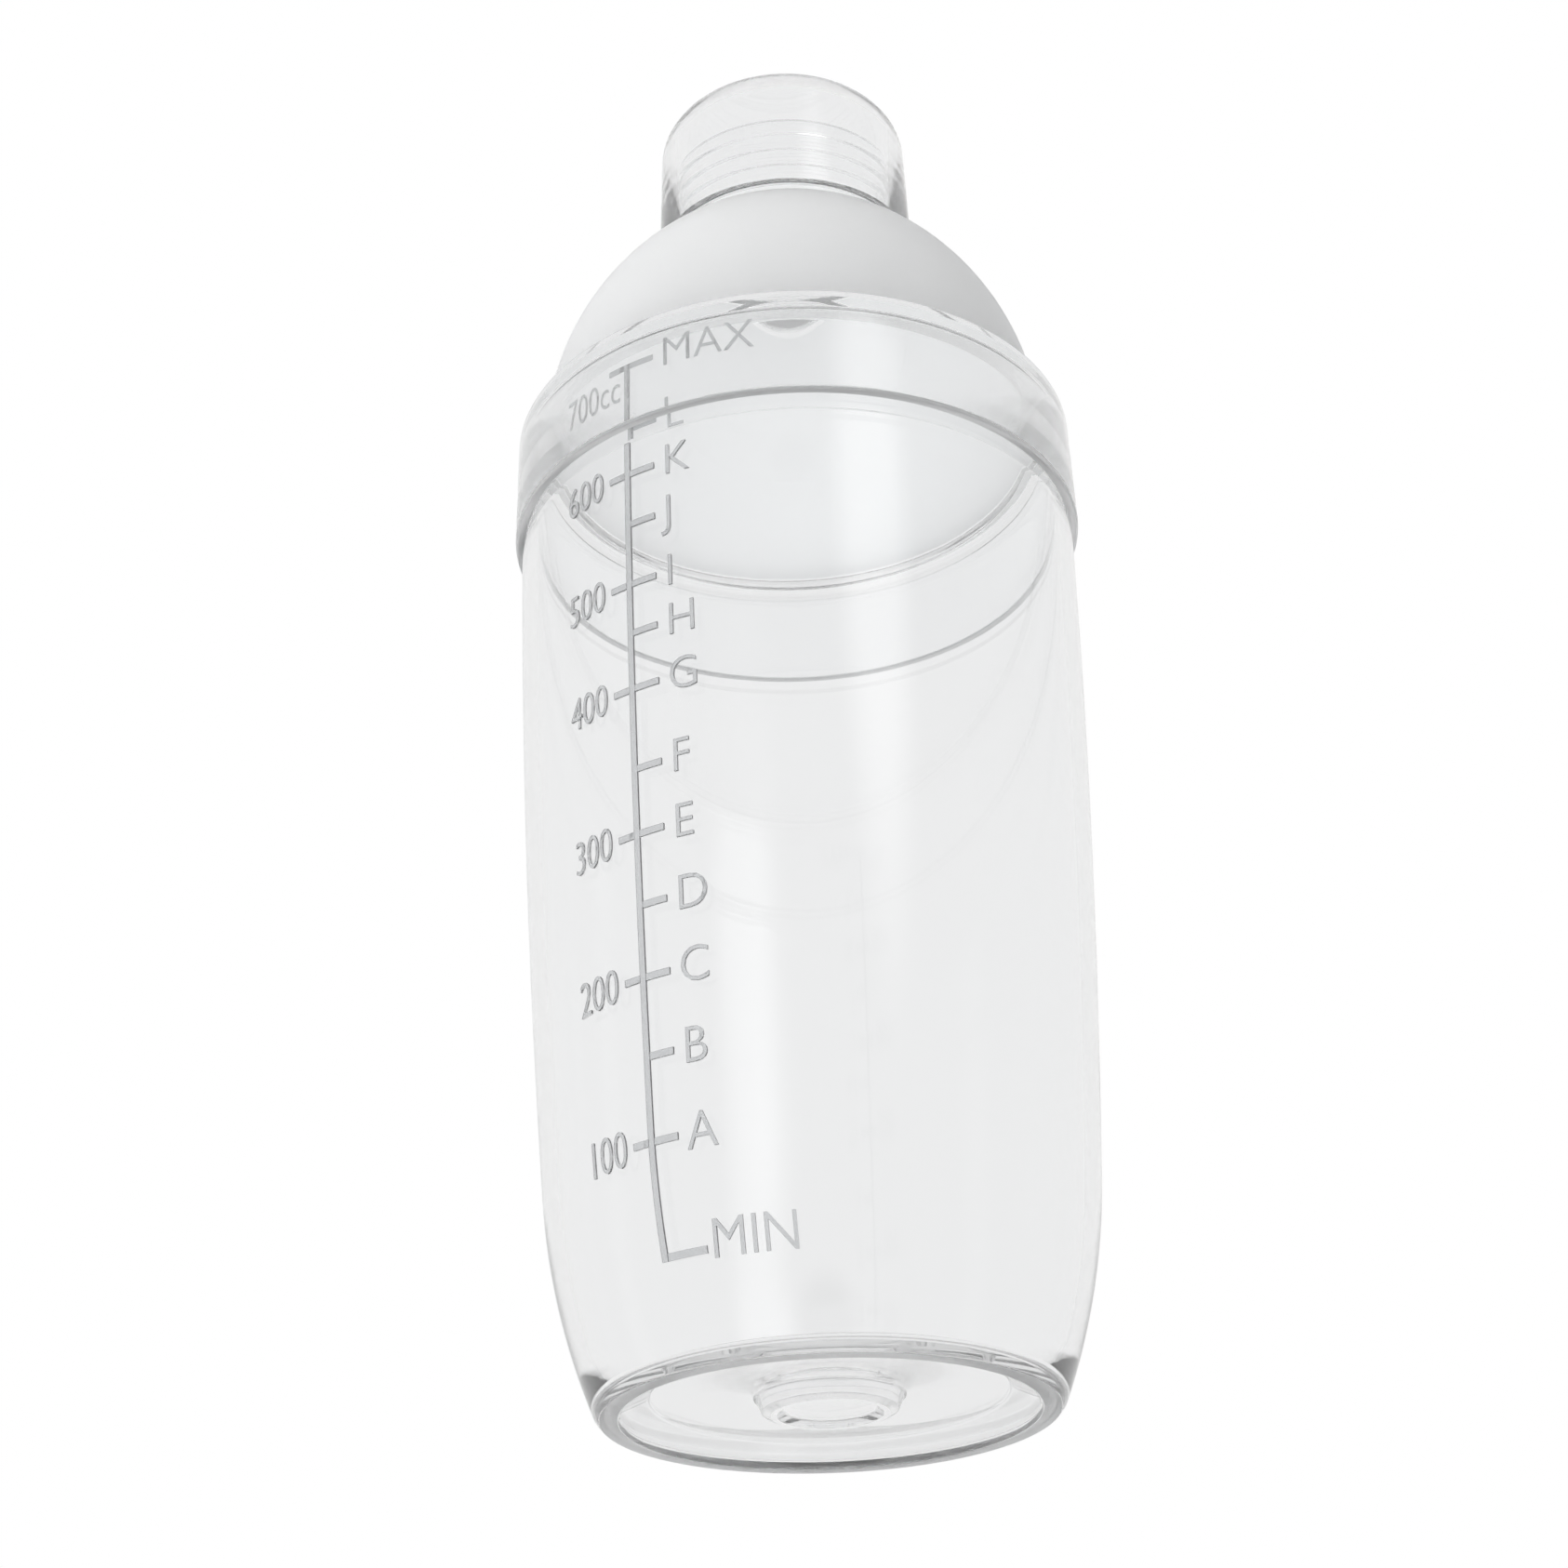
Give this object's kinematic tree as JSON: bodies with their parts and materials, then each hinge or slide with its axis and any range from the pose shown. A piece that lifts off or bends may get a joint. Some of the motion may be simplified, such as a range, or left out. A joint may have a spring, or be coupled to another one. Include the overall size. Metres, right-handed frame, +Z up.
{
  "type": "shaker bottle",
  "caption": "Clear barrel-shaped shaker bottle: graduated cup, domed lid with a strainer in its neck, and a push-on cap.",
  "frame": {"origin": "centre of the foot, on the surface the bottle stands on", "axes": "+Z up along the bottle's axis; the graduations are on the side that faces -X and -Y"},
  "size_m": [0.09, 0.09, 0.2245],
  "materials": {
    "clear_plastic": "clear polycarbonate, polished",
    "frosted_plastic": "clear polycarbonate, finely frosted outside"
  },
  "bodies": {
    "cup": {"cup": "clear_plastic"},
    "lid": {"lid_skirt": "clear_plastic", "lid_dome": "frosted_plastic", "lid_strainer": "clear_plastic", "lid_neck": "clear_plastic"},
    "cap": {"cap": "clear_plastic"}
  },
  "joints": [
    {"name": "lid_lift", "type": "slide", "parent": "cup", "child": "lid", "axis": [0, 0, 1], "range_m": [0, 0.05]},
    {"name": "cap_lift", "type": "slide", "parent": "lid", "child": "cap", "axis": [0, 0, 1], "range_m": [0, 0.04]}
  ]
}
